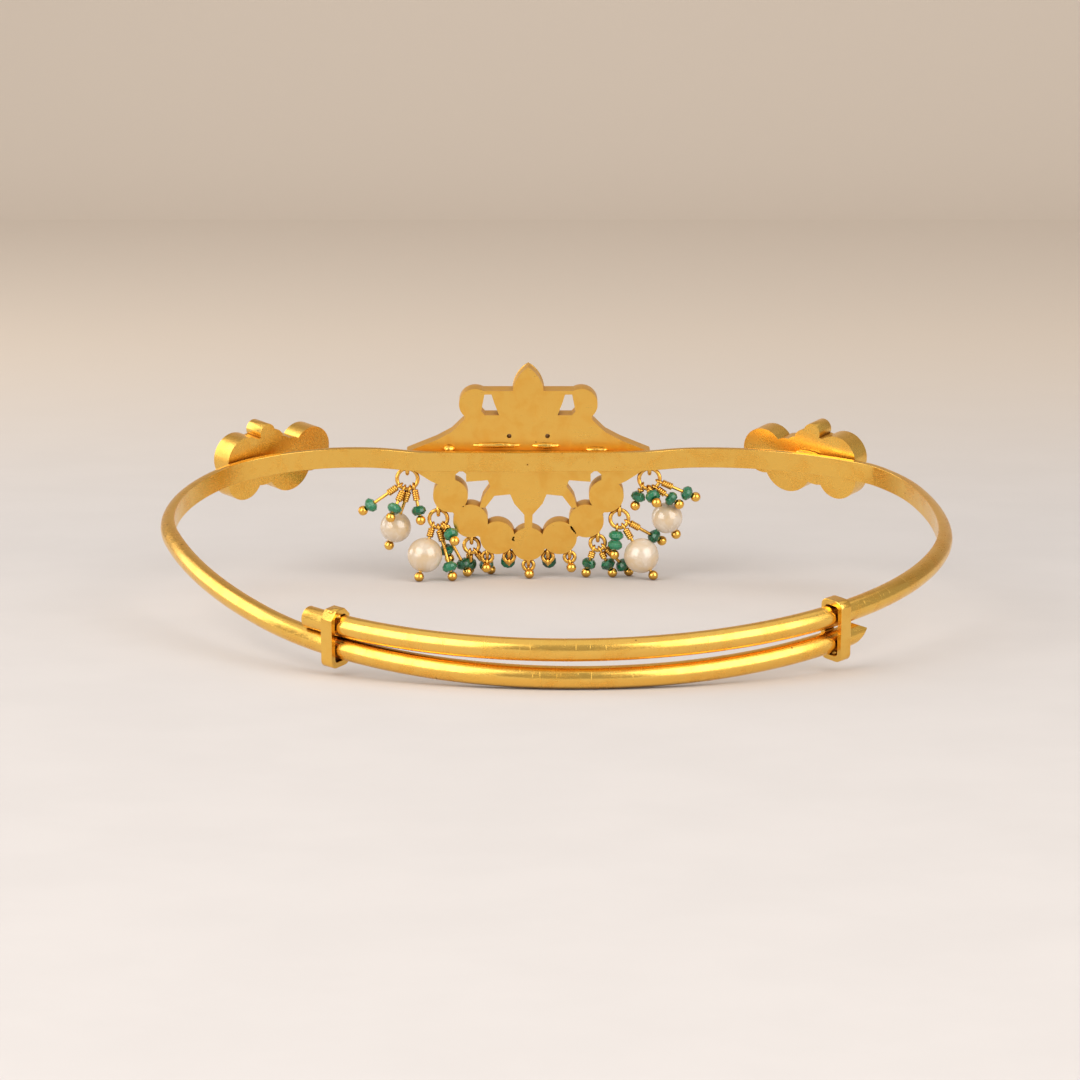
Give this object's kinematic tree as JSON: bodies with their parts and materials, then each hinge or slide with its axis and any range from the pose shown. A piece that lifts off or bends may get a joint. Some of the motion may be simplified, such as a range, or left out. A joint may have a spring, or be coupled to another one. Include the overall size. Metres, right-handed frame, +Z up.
{
  "type": "vanki armlet",
  "caption": "Adjustable gold upper-arm band with overlapping sprung ends in two keepers, a pierced centre plaque, side motifs, and pearl and green bead drops.",
  "frame": {"origin": "middle of the overall box, on the surface that the armlet rests on", "axes": "+X across the plaque from the left keeper to the right keeper, +Y from the overlapped ends to the plaque, +Z up"},
  "size_m": [0.0905, 0.0771, 0.0267],
  "materials": {
    "gold": "satin yellow gold with fine polishing scratches",
    "drop_gold": "bright yellow gold wire and balls",
    "clear_stone": "polished clear stone",
    "green_stone": "polished emerald green",
    "pearl": "ivory pearl lustre"
  },
  "bodies": {
    "root": {"gold_frame": "gold", "plaque_stone_1": "clear_stone", "plaque_stone_2": "clear_stone", "plaque_stone_3": "clear_stone", "plaque_stone_4": "clear_stone", "plaque_stone_5": "clear_stone", "plaque_stone_6": "clear_stone", "plaque_stone_7": "clear_stone", "plaque_stone_8": "clear_stone", "plaque_stone_9": "clear_stone", "plaque_stone_10": "clear_stone", "plaque_stone_11": "clear_stone", "plaque_stone_12": "clear_stone", "plaque_stone_13": "clear_stone", "left_motif_stone_1": "clear_stone", "left_motif_stone_2": "clear_stone", "left_motif_stone_3": "clear_stone", "left_motif_stone_4": "clear_stone", "right_motif_stone_1": "clear_stone", "right_motif_stone_2": "clear_stone", "right_motif_stone_3": "clear_stone", "right_motif_stone_4": "clear_stone", "drop_wires_1": "drop_gold", "drop_wires_2": "drop_gold", "drop_wires_3": "drop_gold", "drop_wires_4": "drop_gold", "drop_wires_5": "drop_gold", "drop_wires_6": "drop_gold", "drop_wires_7": "drop_gold", "drop_wires_8": "drop_gold", "drop_wires_9": "drop_gold", "drop_wires_10": "drop_gold", "drop_wires_11": "drop_gold", "green_bead_1": "green_stone", "green_bead_2": "green_stone", "green_bead_3": "green_stone", "green_bead_4": "green_stone", "green_bead_5": "green_stone", "green_bead_6": "green_stone", "green_bead_7": "green_stone", "green_bead_8": "green_stone", "green_bead_9": "green_stone", "green_bead_10": "green_stone", "green_bead_11": "green_stone", "green_bead_12": "green_stone", "green_bead_13": "green_stone", "green_bead_14": "green_stone", "green_bead_15": "green_stone", "green_bead_16": "green_stone", "green_bead_17": "green_stone", "green_bead_18": "green_stone", "green_bead_19": "green_stone", "green_bead_20": "green_stone", "green_bead_21": "green_stone", "pearl_1": "pearl", "pearl_2": "pearl", "pearl_3": "pearl", "pearl_4": "pearl"}
  },
  "joints": []
}
